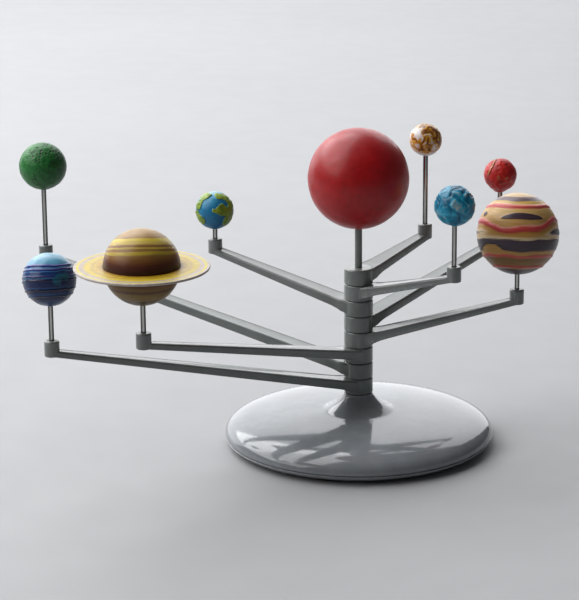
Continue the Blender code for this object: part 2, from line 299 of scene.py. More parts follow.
def sun_paint():
    surface = Surface("sun_paint")
    cloud = surface.spread(surface.noise(28.0, 4.0, 0.6), 0.3, 0.7)
    colour = surface.mix(cloud, linear(160, 8, 14), linear(190, 14, 22))
    return painted(surface, colour, roughness=0.42, strokes=0.05, coat=0.20, across=300.0, up=300.0)


def mercury_paint():
    surface = Surface("mercury_paint")
    tone = surface.unsteady("tone", surface.noise(420.0, 5.0, 0.6), 0.08)
    colour = surface.ramp(tone, [
        (0.00, (238, 232, 230)), (0.38, (228, 214, 204)), (0.44, (226, 180, 96)), (0.54, (218, 158, 50)),
        (0.80, (204, 138, 38)), (0.92, (156, 96, 30)), (1.00, (118, 70, 24)),
    ])
    return painted(surface, colour, roughness=0.30, strokes=0.15, coat=0.3, across=260.0, up=1500.0)


def venus_paint():
    surface = Surface("venus_paint")
    tone = surface.unsteady("tone", surface.noise(300.0, 6.0, 0.65), 0.16)
    colour = surface.ramp(tone, [
        (0.00, (6, 44, 64)), (0.22, (8, 90, 122)), (0.46, (14, 130, 166)), (0.66, (42, 170, 204)),
        (0.86, (122, 170, 186)), (1.00, (168, 184, 190)),
    ])
    return painted(surface, colour, roughness=0.36, strokes=0.3, coat=0.2, across=500.0, up=900.0)


def earth_paint():
    surface = Surface("earth_paint")
    grain = surface.noise(330.0, 5.0, 0.6)
    # The tone holds painted light, higher towards the upper left: the sea's colour and the land's
    # brightness follow it.
    sea = surface.ramp(surface.attribute("tone"), [
        (0.0, (14, 84, 126)), (0.5, (28, 128, 176)), (0.85, (70, 166, 200)), (1.0, (150, 196, 212)),
    ])
    land = surface.ramp(grain, [(0.3, (96, 140, 46)), (0.5, (136, 166, 46)), (0.7, (178, 194, 56))])
    land = surface.shaded(land, surface.spread(surface.attribute("tone"), 0.2, 0.9, 0.72, 1.10))
    shore = surface.unsteady("patch", grain, 0.06)
    colour = surface.mix(surface.spread(shore, 0.40, 0.55), sea, land)
    return painted(surface, colour, roughness=0.40, strokes=0.2, coat=0.15, across=400.0, up=700.0)


def mars_paint():
    surface = Surface("mars_paint")
    tone = surface.unsteady("tone", surface.noise(260.0, 5.0, 0.6), 0.12)
    red = surface.ramp(tone, [
        (0.0, (112, 16, 14)), (0.35, (178, 22, 20)), (0.65, (210, 38, 32)), (1.0, (226, 84, 66)),
    ])
    patch = surface.ramp(surface.noise(300.0, 4.0), [
        (0.35, (150, 120, 52)), (0.55, (204, 140, 96)), (0.7, (222, 172, 132)),
    ])
    mask = surface.unsteady("patch", surface.noise(500.0, 4.0), 0.15)
    colour = surface.mix(surface.spread(mask, 0.45, 0.75), red, patch)
    return painted(surface, colour, roughness=0.42, strokes=0.25, coat=0.1, across=500.0, up=500.0)


def banded_paint(name, stops, patch, wander, roughness, coat, strokes):
    """Bands round a ball by its tone, 0 at the south pole and 1 at the north, and one patch colour."""
    surface = Surface(name)
    streaks = surface.noise(1.0, 5.0, 0.6, surface.stretched(90.0, 900.0))
    tone = surface.unsteady("tone", streaks, wander)
    mask = surface.unsteady("patch", surface.noise(420.0, 4.0), 0.12)
    colour = surface.mix(surface.spread(mask, 0.42, 0.60), surface.ramp(tone, stops), linear(*patch))
    return painted(surface, colour, roughness, strokes, coat, across=120.0, up=1300.0)


def uranus_paint():
    surface = Surface("uranus_paint")
    tone = surface.unsteady("tone", surface.noise(240.0, 6.0, 0.65), 0.14)
    colour = surface.ramp(tone, [
        (0.0, (8, 54, 22)), (0.3, (18, 86, 34)), (0.6, (38, 122, 52)), (1.0, (100, 178, 104)),
    ])
    cell_inputs = {"Vector": surface.place(), "Scale": 480.0}
    cells = surface.node("ShaderNodeTexVoronoi", cell_inputs).outputs["Distance"]
    # Painted shade in the pits: where the bump below sinks them, the colour is also darkened.
    pit = surface.times(surface.spread(cells, 0.42, 0.26), surface.attribute("patch"))
    colour = surface.mix(surface.times(pit, 0.85), colour, linear(8, 34, 18))
    made = painted(surface, colour, roughness=0.46, strokes=0.3, coat=0.12, across=700.0, up=700.0)
    grain = surface.bump(surface.noise(900.0, 4.0), 0.5, 0.00025)
    surface.set(Normal=surface.bump(surface.spread(pit, 0.0, 1.0, 1.0, 0.0), 0.8, 0.0005, grain))
    return made


def ring_paint():
    """The ring's colours by how far out they are: the tone runs from 0 at its inner edge to 1."""
    surface = Surface("ring_paint")
    tone = surface.unsteady("tone", surface.noise(160.0, 4.0, 0.6), 0.012)
    colour = surface.ramp(tone, [
        (0.00, (146, 104, 24)), (0.10, (188, 148, 30)), (0.26, (206, 170, 18)), (0.34, (188, 156, 62)),
        (0.42, (204, 172, 32)), (0.50, (212, 186, 12)), (0.60, (208, 180, 22)), (0.68, (184, 166, 146)),
        (0.80, (186, 170, 156)), (0.825, (214, 196, 8)), (0.885, (216, 196, 14)), (0.91, (188, 174, 160)),
        (1.00, (196, 184, 174)),
    ])
    return painted(surface, colour, roughness=0.40, strokes=0.15, coat=0.2, across=350.0, up=350.0)


# ---------------------------------------------------------------- mesh helpers

def linked(name, mesh, materials):
    for material in materials:
        mesh.materials.append(material)
    made = bpy.data.objects.new(name, mesh)
    bpy.context.scene.collection.objects.link(made)
    return made


def make_object(name, bm, materials=(), sharp_angle=40.0):
    bmesh.ops.recalc_face_normals(bm, faces=bm.faces)
    mesh = bpy.data.meshes.new(name)
    bm.to_mesh(mesh)
    bm.free()
    mesh.shade_smooth()
    mesh.set_sharp_from_angle(angle=math.radians(sharp_angle))
    return linked(name, mesh, materials)


def arc(centre, radii, start, end, steps):
    turns = [math.radians(start + (end - start) * i / steps) for i in range(steps + 1)]
    return [(centre[0] + radii[0] * math.cos(t), centre[1] + radii[1] * math.sin(t)) for t in turns]


def turned(profile, steps, closed=False):
    """A bmesh turned about the z axis. The profile runs axis to axis, or is a closed loop."""
    bm = bmesh.new()
    rows = []
    for radius, height in profile:
        if radius < 1e-7:
            rows.append([bm.verts.new((0.0, 0.0, height))])
            continue
        turns = [2.0 * math.pi * i / steps for i in range(steps)]
        rows.append([bm.verts.new((radius * math.cos(t), radius * math.sin(t), height)) for t in turns])
    pairs = list(zip(rows, rows[1:]))
    if closed:
        pairs.append((rows[-1], rows[0]))
    for upper, lower in pairs:
        for i in range(steps):
            j = (i + 1) % steps
            corners = [upper[i % len(upper)], upper[j % len(upper)]]
            corners += [lower[j % len(lower)], lower[i % len(lower)]]
            bm.faces.new(list(dict.fromkeys(corners)))
    return bm


def moved(bm, offset):
    bmesh.ops.translate(bm, verts=bm.verts, vec=offset)
    return bm


def cylinder(radius, low, high, steps):
    return turned([(0.0, high), (radius, high), (radius, low), (0.0, low)], steps)


def dress(piece, body, node):
    """Puts a finished piece in the place of its CAD node."""
    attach(piece, body)
    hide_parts(node)


def stand_line(node):
    """Where a node that was turned about an upright axis stands, and its lowest and highest levels."""
    low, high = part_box(node)
    return Vector(((low.x + high.x) / 2.0, (low.y + high.y) / 2.0, 0.0)), low.z, high.z


def close_up(mesh):
    """Welds corners that nearly coincide and drops slivers, so that a carved mesh stays closed."""
    bm = bmesh.new()
    bm.from_mesh(mesh)
    bmesh.ops.remove_doubles(bm, verts=bm.verts, dist=WELD_DISTANCE)
    bmesh.ops.dissolve_degenerate(bm, edges=bm.edges, dist=WELD_DISTANCE)
    bmesh.ops.triangulate(bm, faces=bm.faces, quad_method="BEAUTY", ngon_method="BEAUTY")
    bm.to_mesh(mesh)
    bm.free()


def carve(made, tools):
    """Adds or cuts each tool in turn, then removes the tools."""
    for tool, operation in tools:
        modifier = made.modifiers.new("carve", "BOOLEAN")
        modifier.operation = operation
        modifier.object = tool
    bpy.context.view_layer.update()
    graph = bpy.context.evaluated_depsgraph_get()
    mesh = bpy.data.meshes.new_from_object(made.evaluated_get(graph), depsgraph=graph)
    made.modifiers.clear()
    close_up(mesh)
    made.data = mesh
    for tool, _ in tools:
        bpy.data.objects.remove(tool)


def even_shading(made):
    made.data.shade_smooth()
    made.data.set_sharp_from_angle(angle=math.radians(ARM_SHARP_ANGLE))
    even = made.modifiers.new("even shading", "WEIGHTED_NORMAL")
    even.keep_sharp = True
    even.weight = 60


# ---------------------------------------------------------------- stand

def tray_radius():
    low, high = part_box("base_tray")
    return (high.x - low.x) / 2.0


def dome_level(radius, rim):
    """Height of the dome's outline over a radius."""
    return RIM_HEIGHT + DOME_RISE * (1.0 - (radius / rim) ** DOME_POWER) ** (1.0 / DOME_POWER)


def dome_curve(start_radius, rim, rise, steps):
    """The dome's outline from a radius out to just above the rim: flat, with round shoulders."""
    power = 2.0 / DOME_POWER
    start = math.acos((start_radius / rim) ** (1.0 / power))
    turns = [start * (1.0 - i / steps) for i in range(steps)]
    return [(rim * math.cos(t) ** power, RIM_HEIGHT + rise * math.sin(t) ** power) for t in turns]


def neck_flare(rim, collar, steps):
    """The neck's outline from its collar out: a quarter of a superellipse that stands on the dome."""
    lift = collar - dome_level(HUB_RADIUS, rim)
    power = 2.0 / NECK_POWER
    points = []
    for i in range(steps):
        turn = 0.5 * math.pi * i / steps
        radius = HUB_RADIUS + NECK_FLARE * (1.0 - math.cos(turn) ** power)
        points.append((radius, dome_level(radius, rim) + lift * (1.0 - math.sin(turn) ** power)))
    return points


def base_dome(plastic):
    """The dome and its flared neck, as one smooth shell with a softened lower edge."""
    _, seam, neck_top = stand_line("base_dome")
    rim = tray_radius()
    profile = [(0.0, POST_HOLE_FLOOR), (POST_HOLE_RADIUS, POST_HOLE_FLOOR)]
    profile += [(POST_HOLE_RADIUS, neck_top)]
    profile += [(HUB_RADIUS - NECK_TOP_EDGE, neck_top), (HUB_RADIUS, neck_top - NECK_TOP_EDGE)]
    profile += neck_flare(rim, neck_top - NECK_COLLAR, steps=40)
    profile += dome_curve(HUB_RADIUS + NECK_FLARE, rim, DOME_RISE, steps=48)
    profile += [(rim - 0.02 * MM, seam + 0.5 * MM), (rim - 0.12 * MM, seam + 0.15 * MM)]
    inner = rim - SHELL_WALL
    profile += [(rim - RIM_EDGE, seam), (inner, seam)]
    profile += reversed(dome_curve(BOSS_RADIUS, inner, DOME_RISE - SHELL_WALL, steps=30))
    boss_end = POST_HOLE_FLOOR - SHELL_WALL
    profile += [(BOSS_RADIUS, boss_end), (0.0, boss_end)]
    made = make_object("dome_shell", turned(profile, TURNED_STEPS), [plastic], sharp_angle=50.0)
    dress(made, "stand", "base_dome")


def base_tray(plastic):
    """The tray: rolled edge, and shallow moulded rings under it that stand on the table."""
    _, _, lip_top = stand_line("base_tray")
    rim = tray_radius()
    lip_outer = rim - SHELL_WALL - LIP_GAP
    lip_inner = lip_outer - LIP_WALL
    profile = [(0.0, SHELL_WALL), (lip_inner - LIP_SLOPE_RUN, SHELL_WALL)]
    profile += [(lip_inner, RIM_HEIGHT - LIP_SLOPE_DROP)]
    profile += [(lip_inner, lip_top), (lip_outer, lip_top), (lip_outer, RIM_HEIGHT)]
    profile += [(rim - RIM_EDGE, RIM_HEIGHT), (rim - 0.05 * MM, RIM_HEIGHT - 0.25 * MM)]
    profile += arc((FOOT_RADIUS, RIM_HEIGHT), (rim - FOOT_RADIUS, RIM_HEIGHT), -6.0, -90.0, 20)
    outer_ring = FOOT_RADIUS - OUTER_RING_WIDTH
    profile += [(outer_ring, 0.0), (outer_ring - RING_RECESS, RING_RECESS)]
    profile += [(INNER_RING[1] + RING_RECESS, RING_RECESS), (INNER_RING[1], 0.0)]
    profile += [(INNER_RING[0], 0.0), (INNER_RING[0] - RING_RECESS, RING_RECESS)]
    profile += [(0.0, RING_RECESS)]
    made = make_object("tray_shell", turned(profile, TURNED_STEPS), [plastic], sharp_angle=50.0)
    dress(made, "stand", "base_tray")


def upright(name, node, body, material, steps):
    """A rod or post with rounded ends that stands where its CAD node does."""
    axis, low, high = stand_line(node)
    box_low, box_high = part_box(node)
    radius = (box_high.x - box_low.x) / 2.0
    edge = ROD_EDGE_SHARE * radius
    length = high - low
    profile = [(0.0, length)] + arc((radius - edge, length - edge), (edge, edge), 90.0, 0.0, 5)
    profile += arc((radius - edge, edge), (edge, edge), 0.0, -90.0, 5) + [(0.0, 0.0)]
    made = make_object(name, turned(profile, steps), [material], sharp_angle=60.0)
    made.location = axis + Vector((0.0, 0.0, low))
    dress(made, body, node)


# ---------------------------------------------------------------- arms

def arm_section(along, reach):
    """Width, top and bottom of an arm at a distance along it, over the hub's middle."""
    share = along / reach
    near_hub = max(0.0, 1.0 - max(0.0, along - HUB_RADIUS) / ARM_ROOT_FILLET) ** 2
    width = ARM_ROOT_WIDTH + (ARM_TIP_WIDTH - ARM_ROOT_WIDTH) * share
    top = ARM_ABOVE_HUB + (ARM_TIP_HALF - ARM_ABOVE_HUB) * share + along * ARM_RISE
    bottom = -ARM_BELOW_HUB + (ARM_BELOW_HUB - ARM_TIP_HALF) * share + along * ARM_RISE
    return (
        width + FILLET_WIDTH * near_hub, top + FILLET_TOP * near_hub, bottom - FILLET_BOTTOM * near_hub,
    )


def arm_bar(reach):
    """The tapered bar, with its upper long edges rounded and its lower ones softened."""
    root = [HUB_RADIUS + ARM_ROOT_FILLET * i / 8.0 for i in range(9)]
    rest = [root[-1] + (reach - root[-1]) * i / 8.0 for i in range(1, 9)]
    bm = bmesh.new()
    rows = []
    for along in [ARM_START, HUB_RADIUS - 1.0 * MM] + root + rest:
        width, top, bottom = arm_section(along, reach)
        side = width / 2.0
        inside = side - ARM_EDGE
        outline = [(inside - BEAD_WIDTH, top - BEAD_HEIGHT)]
        outline += [(inside - 0.35 * BEAD_WIDTH, top - 0.15 * BEAD_HEIGHT)]
        outline += arc((inside, top - ARM_EDGE), (ARM_EDGE, ARM_EDGE), 90.0, 0.0, 6)
        lower = (side - ARM_LOWER_EDGE, bottom + ARM_LOWER_EDGE)
        outline += arc(lower, (ARM_LOWER_EDGE, ARM_LOWER_EDGE), 0.0, -90.0, 3)
        outline += [(-across, up) for across, up in reversed(outline)]
        rows.append([bm.verts.new((along, across, up)) for across, up in outline])
    count = len(rows[0])
    for near, far in zip(rows, rows[1:]):
        for i in range(count):
            j = (i + 1) % count
            bm.faces.new((near[i], near[j], far[j], far[i]))
    bm.faces.new(rows[0])
    bm.faces.new(list(reversed(rows[-1])))
    return bm


def hub_ring(is_top):
    half = HUB_HEIGHT / 2.0
    upper = TOP_HUB_EDGE if is_top else HUB_UPPER_EDGE
    profile = [(0.0, half)] + arc((HUB_RADIUS - upper, half - upper), (upper, upper), 90.0, 0.0, 6)
    profile += arc((HUB_RADIUS - HUB_EDGE, HUB_EDGE - half), (HUB_EDGE, HUB_EDGE), 0.0, -90.0, 3)
    return turned(profile + [(0.0, -half)], steps=72)


def arm(name, plastic):
    """One moulded arm: hub ring, bar and cup, with the holes for the post and the rod."""
    axis = stand_line(f"{name}_rod")[0]
    reach = math.hypot(axis.x, axis.y)
    bottom = arm_section(reach, reach)[2]
    top = bottom + CUP_HEIGHT
    is_top = name == TOP_HUB
    half = HUB_HEIGHT / 2.0
    hole_top = half - CAP_WALL if is_top else half + CUT_PAST
    soft = ARM_LOWER_EDGE
    upper_middle = (CUP_RADIUS - CUP_EDGE, top - CUP_EDGE)
    lower_middle = (CUP_RADIUS - soft, bottom + soft)
    profile = [(0.0, top)] + arc(upper_middle, (CUP_EDGE, CUP_EDGE), 90.0, 0.0, 6)
    profile += arc(lower_middle, (soft, soft), 0.0, -90.0, 3) + [(0.0, bottom)]
    out = Vector((reach, 0.0, 0.0))
    made = make_object(f"{name}_arm_moulding", hub_ring(is_top), [plastic])
    bar = make_object("bar", arm_bar(reach))
    cup = make_object("cup", moved(turned(profile, steps=48), out))
    post_room = cylinder(POST_HOLE_RADIUS, -half - CUT_PAST, hole_top, steps=48)
    post_hole = make_object("post_hole", post_room)
    pin_room = cylinder(PIN_HOLE_RADIUS, bottom + CUP_FLOOR, top + CUT_PAST, steps=24)
    pin_hole = make_object("pin_hole", moved(pin_room, out))
    tools = [(bar, "UNION"), (cup, "UNION"), (post_hole, "DIFFERENCE"), (pin_hole, "DIFFERENCE")]
    if is_top:
        rod_room = cylinder(SUN_ROD_HOLE_RADIUS, 0.0, half + CUT_PAST, steps=32)
        rod_hole = make_object("rod_hole", rod_room)
        tools.append((rod_hole, "DIFFERENCE"))
    carve(made, tools)
    made.location = (0.0, 0.0, LEVELS[name])
    made.rotation_euler = (0.0, 0.0, math.atan2(axis.y, axis.x))
    even_shading(made)
    dress(made, name, f"{name}_arm")


# ---------------------------------------------------------------- balls

def step(value, low, high):
    share = max(0.0, min(1.0, (value - low) / (high - low)))
    return share * share * (3.0 - 2.0 * share)


def ridge(value, middle, half_width):
    """A smooth line about middle: 1 on it, 0 at half_width from it."""
    return step(half_width - abs(value - middle), 0.0, half_width)


def fog(place, scale, seed):
    return noise.noise(place * scale + Vector((seed, 2.3 * seed, -1.7 * seed)))


def cloudy(place, scale, seed, octaves=4):
    return noise.fractal(place * scale + Vector((seed, 2.3 * seed, -1.7 * seed)), 1.0, 2.0, octaves)


def warped(place, scale, amount, seed):
    """The place pushed about a little, so that a patch's outline wavers."""
    push = Vector([fog(place, scale, seed + shift) for shift in (0.0, 7.0, 13.0)])
    return (place + push * amount).normalized()


def oval(place, middle, size, tilt=0.0):
    """How far inside an oval patch a place lies: 1 at its middle, 0 at its edge, below 0 outside."""
    u, v, front = middle
    away = Vector((u, v, front * math.sqrt(max(0.0, 1.0 - u * u - v * v))))
    right = Vector((0.0, 1.0, 0.0)).cross(away).normalized()
    rise = away.cross(right)
    turn = math.radians(tilt)
    across = place.dot(right * math.cos(turn) + rise * math.sin(turn))
    up = place.dot(rise * math.cos(turn) - right * math.sin(turn))
    if place.dot(away) < 0.0:
        return FAR_OUTSIDE
    return 1.0 - math.hypot(across / size[0], up / size[1])


def globe(name, node, body, material, shape):
    """A ball with relief. shape(direction, seen) gives its height in mm and its tone and patch."""
    low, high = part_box(node)
    centre = (low + high) / 2.0
    radius = (high.z - low.z) / 2.0
    toward = (CAMERA_PLACE - centre).normalized()
    right = Vector((0.0, 0.0, 1.0)).cross(toward).normalized()
    rise = toward.cross(right)
    bm = bmesh.new()
    bmesh.ops.create_icosphere(bm, subdivisions=BALL_FINENESS, radius=1.0)
    tones = []
    patches = []
    for vertex in bm.verts:
        direction = vertex.co.normalized()
        seen = Vector((direction.dot(right), direction.dot(rise), direction.dot(toward)))
        height, tone, patch = shape(direction, seen)
        vertex.co = direction * (radius + height * MM)
        tones.append(tone)
        patches.append(patch)
    mesh = bpy.data.meshes.new(name)
    bm.to_mesh(mesh)
    bm.free()
    mesh.attributes.new("tone", "FLOAT", "POINT").data.foreach_set("value", tones)
    mesh.attributes.new("patch", "FLOAT", "POINT").data.foreach_set("value", patches)
    mesh.shade_smooth()
    made = linked(name, mesh, [material])
    made.location = centre
    dress(made, body, node)


def level(rise):
    """The latitude of a height on a ball of radius 1: from 0 at the lower pole to 1 at the upper."""
    return 0.5 + math.asin(max(-1.0, min(1.0, rise))) / math.pi


def sun_shape(direction, seen):
    return 0.10 * fog(direction, 3.0, 1.0), 0.5, 0.0


def mercury_shape(direction, seen):
    place = warped(seen, 3.0, 0.35, 3.0)
    tone = 0.58 + 0.85 * cloudy(place, 3.4, 5.0)
    tone += 0.20 * step(oval(seen, (-0.05, -0.25, 1.0), (0.50, 0.42)), -0.3, 0.4)
    tone += 0.24 * step(oval(seen, (0.68, 0.36, 1.0), (0.42, 0.75), 12.0), -0.3, 0.4)
    tone += 0.15 * step(direction.z, 0.55, 0.9)
    # Painted highlight: the white oval at the upper left, where the light falls.
    tone -= 0.50 * step(oval(seen, (-0.58, 0.36, 1.0), (0.36, 0.42), -20.0), -0.3, 0.5)
    tone -= 0.50 * step(oval(seen, (0.60, -0.46, 1.0), (0.26, 0.24)), -0.3, 0.4)
    tone -= 0.70 * step(-direction.z, 0.62, 0.78)
    tone = max(0.0, min(1.0, tone))
    return 0.16 * cloudy(seen, 2.4, 2.0) - 0.10 * tone, tone, 0.0


def venus_shape(direction, seen):
    dabs = cloudy(warped(seen, 2.4, 0.3, 2.0), 2.4, 8.0)
    tone = 0.44 + 0.34 * dabs - 0.08 * seen.y
    pale = max(
        oval(seen, (-0.12, 0.05, 1.0), (0.50, 0.22), -8.0),
        oval(seen, (0.42, 0.56, 1.0), (0.50, 0.13), -12.0),
        oval(seen, (-0.62, -0.50, 1.0), (0.30, 0.12), -35.0),
        oval(seen, (0.1, 0.2, -1.0), (0.5, 0.2), 20.0),
    )
    tone += 0.30 * step(pale + 1.2 * dabs + 0.5 * fog(seen, 6.0, 5.0), -0.15, 0.65)
    wander = 0.12 * fog(seen, 2.0, 4.0)
    cracks = ridge(seen.y + 0.16 * seen.x + wander, 0.80, 0.05)
    cracks += ridge(seen.y - 0.10 * seen.x + wander, 0.42, 0.04)
    cracks += ridge(seen.y + 0.30 * seen.x + 2.0 * wander, 0.62, 0.04)
    cracks += ridge(seen.x + 0.2 * seen.y, -0.74, 0.05)
    cracks = min(1.0, cracks) * step(fog(seen, 1.6, 9.0), -0.1, 0.1)
    height = 0.40 * dabs + 0.25 * fog(seen, 4.0, 2.0) - 0.34 * cracks
    # Painted shade: the sunk cracks are also made darker in tone.
    return height, max(0.0, min(1.0, tone - 0.22 * cracks)), 0.0


def earth_shape(direction, seen):
    place = warped(seen, 3.6, 0.12, 6.0)
    land = max(
        oval(place, (-0.80, 0.34, 1.0), (0.24, 0.34), -20.0),
        oval(place, (-0.48, 0.72, 1.0), (0.24, 0.36), -52.0),
        oval(place, (0.42, 0.70, 1.0), (0.44, 0.26), -24.0),
        oval(place, (0.76, 0.40, 1.0), (0.24, 0.40), 14.0),
        oval(place, (0.36, 0.00, 1.0), (0.50, 0.30), -4.0),
        oval(place, (0.80, -0.05, 1.0), (0.34, 0.40)),
        oval(place, (0.68, -0.52, 1.0), (0.30, 0.40), 24.0),
        oval(place, (-0.90, -0.12, 1.0), (0.20, 0.14)),
        oval(place, (-0.74, -0.46, 1.0), (0.26, 0.34), 24.0),
        oval(place, (0.35, 0.35, -1.0), (0.50, 0.42), 20.0),
        oval(place, (-0.40, -0.35, -1.0), (0.34, 0.50), -15.0),
    )
    bay = max(
        oval(place, (0.30, 0.36, 1.0), (0.42, 0.06), 4.0), oval(place, (0.02, 0.34, 1.0), (0.16, 0.20)),
    )
    land = min(land, -bay * 2.0) if bay > 0.0 else land
    shore = step(land, -0.04, 0.10)
    swell = 0.10 * fog(seen, 3.0, 3.0)
    # Painted light: the tone rises towards the upper left, where the light falls, and the sea and land
    # grow lighter with it.
    tone = 0.46 + 0.34 * seen.y - 0.16 * seen.x + 0.35 * step(direction.z, 0.90, 0.98) + swell
    height = 0.62 * shore + swell + 0.16 * shore * fog(seen, 7.0, 1.0)
    return height, max(0.0, min(1.0, tone)), shore


def mars_shape(direction, seen):
    lumps = cloudy(seen, 2.0, 4.0)
    front = step(seen.y, -0.35, 0.1) * step(seen.z, 0.0, 0.2)
    slash = ridge(seen.x - 0.45 * seen.y, -0.66, 0.055) * front
    beside = ridge(seen.x - 0.45 * seen.y, -0.76, 0.10) * front
    patch = max(
        oval(seen, (-0.12, -0.16, 1.0), (0.12, 0.20)),
        oval(seen, (0.42, -0.20, 1.0), (0.24, 0.10), 20.0),
        oval(seen, (0.10, -0.56, 1.0), (0.36, 0.12), 12.0),
        oval(seen, (0.66, -0.34, 1.0), (0.12, 0.20)),
        oval(seen, (-0.2, 0.3, -1.0), (0.4, 0.2), 30.0),
    )
    patch = 0.62 * step(patch + 0.6 * fog(seen, 4.0, 8.0), 0.0, 0.6)
    groove = ridge(fog(seen, 2.2, 12.0), 0.0, 0.05) * step(fog(seen, 1.4, 3.0), 0.0, 0.25)
    drip = step(-direction.z, 0.88, 0.99)
    height = 0.26 * lumps + 0.12 * fog(seen, 5.0, 1.0) - 0.26 * groove - 0.35 * slash + 0.7 * drip
    # Painted shade: the sunk groove and slash are also made darker in tone.
    tone = 0.50 + 0.30 * lumps - 0.30 * groove - 0.45 * slash
    return height, max(0.0, min(1.0, tone)), min(1.0, patch + 0.85 * beside)


JUPITER_SAND = 0.345            # tone of the sand band that cuts into the dark one as a bay
# Painted highlights: the pale line at the dark belt's upper edge (0.460 to 0.469), and the pink and pale
# lines just above the raised red bands at 0.556 and 0.756.
JUPITER_STOPS = [
    (0.000, (72, 56, 60)), (0.165, (80, 62, 66)), (0.172, (150, 112, 66)), (0.186, (152, 114, 66)),
    (0.192, (178, 66, 58)), (0.216, (184, 76, 66)), (0.224, (142, 106, 58)), (0.298, (128, 96, 54)),
    (0.306, (190, 78, 66)), (0.326, (200, 92, 78)), (0.335, (192, 148, 82)), (0.356, (186, 140, 74)),
    (0.366, (62, 50, 60)), (0.452, (74, 60, 72)), (0.460, (228, 202, 162)), (0.469, (226, 196, 150)),
    (0.480, (206, 156, 84)), (0.504, (190, 134, 60)), (0.514, (196, 62, 60)), (0.546, (206, 76, 70)),
    (0.556, (238, 164, 144)), (0.566, (204, 156, 88)), (0.640, (212, 170, 104)), (0.704, (220, 180, 108)),
    (0.714, (216, 88, 82)), (0.746, (226, 110, 100)), (0.756, (238, 202, 152)), (0.766, (212, 170, 74)),
    (0.786, (206, 164, 72)), (0.796, (104, 84, 92)), (0.840, (110, 90, 96)), (0.852, (218, 184, 134)),
]


def jupiter_paint():
    return banded_paint(
        "jupiter_paint", JUPITER_STOPS, patch=(76, 58, 68),
        wander=0.010, roughness=0.38, coat=0.15, strokes=0.2,
    )


def jupiter_shape(direction, seen):
    turn = math.atan2(seen.x, seen.z)
    middle = level(seen.y) + 0.008 * fog(direction, 2.4, 3.0) + 0.006 * math.sin(turn * 3.0 + 1.0)
    swing = 0.085 * math.sin(turn + 0.14) ** 2 - 0.008 + 0.010 * math.sin(6.0 * turn + 1.0)
    tone = middle - swing * step(middle, 0.465, 0.515) * step(-middle, -0.69, -0.63)
    storm = oval(warped(seen, 2.0, 0.03, 3.0), (0.10, 0.425, 1.0), (0.54, 0.088), 1.0)
    spot = oval(seen, (-0.79, 0.47, 1.0), (0.09, 0.07))
    far_storm = oval(warped(seen, 2.0, 0.05, 3.0), (0.15, -0.25, -1.0), (0.46, 0.10), -6.0)
    patch = step(max(storm, spot, far_storm), -0.05, 0.18)
    streak = noise.noise(Vector((seen.x * 3.0, seen.z * 3.0, seen.y * 22.0)))
    bay = step(oval(seen, (-0.62, -0.42, 1.0), (0.42, 0.26), -4.0) + 0.25 * streak, 0.0, 0.45)
    share = bay * step(middle, 0.345, 0.360) * step(-middle, -0.440, -0.430)
    tone += (JUPITER_SAND - tone) * share
    raised = sum(ridge(tone, middle, 0.024) for middle in (0.205, 0.318, 0.532, 0.732))
    dark = step(tone, 0.362, 0.376) * step(-tone, -0.462, -0.448)
    strokes = noise.noise(Vector((seen.x * 2.0, seen.z * 2.0, seen.y * 26.0)))
    height = 0.35 * raised + 0.20 * dark + 0.30 * patch + 0.14 * fog(direction, 3.0, 9.0)
    return height + 0.07 * strokes, tone, patch


SATURN_STOPS = [
    (0.000, (64, 48, 12)), (0.160, (92, 72, 20)), (0.220, (70, 46, 16)), (0.250, (114, 90, 26)),
    (0.320, (118, 92, 26)), (0.350, (78, 44, 18)), (0.370, (120, 88, 26)), (0.420, (86, 48, 20)),
    (0.455, (56, 24, 18)), (0.530, (60, 22, 18)), (0.590, (92, 44, 26)), (0.640, (128, 84, 40)),
    (0.684, (152, 112, 56)), (0.692, (186, 160, 54)), (0.715, (196, 170, 56)), (0.722, (150, 108, 54)),
    (0.738, (146, 104, 54)), (0.745, (198, 170, 60)), (0.756, (196, 168, 62)), (0.763, (138, 92, 48)),
    (0.779, (150, 106, 56)), (0.787, (204, 176, 78)), (0.818, (210, 182, 82)), (0.824, (218, 194, 48)),
    (0.847, (216, 190, 54)), (0.856, (160, 120, 62)), (0.880, (172, 134, 74)), (1.000, (184, 148, 92)),
]


def saturn_paint():
    return banded_paint(
        "saturn_paint", SATURN_STOPS, patch=(120, 80, 40),
        wander=0.006, roughness=0.40, coat=0.12, strokes=0.1,
    )


def saturn_shape(direction, seen):
    """Its bands lie level at the ring, and lean towards the front higher up."""
    lean = step(direction.z, 0.12, 0.50)
    tone = (1.0 - lean) * level(direction.z) + lean * (level(seen.y) + CAMERA_ELEVATION / math.pi)
    tone = min(1.0, tone + 0.004 * fog(direction, 2.0, 2.0))
    ribs = 0.05 * noise.noise(Vector((seen.x, seen.z, 80.0 * tone)))
    return 0.06 * fog(direction, 3.0, 2.0) + ribs, tone, 0.0


def uranus_shape(direction, seen):
    rough = cloudy(seen, 5.0, 3.0)
    pitted = step(oval(warped(seen, 3.0, 0.2, 2.0), (0.15, 0.62, 1.0), (0.78, 0.42)), -0.1, 0.3)
    pitted = max(pitted, 0.7 * step(fog(seen, 1.8, 5.0), 0.22, 0.4))
    # Painted light: the tone rises towards the upper left, where the light falls, so the green is lighter
    # there.
    tone = 0.44 + 0.14 * rough + 0.14 * seen.y - 0.16 * seen.x
    return 0.16 * rough + 0.15 * fog(seen, 2.0, 1.0), max(0.0, min(1.0, tone)), pitted


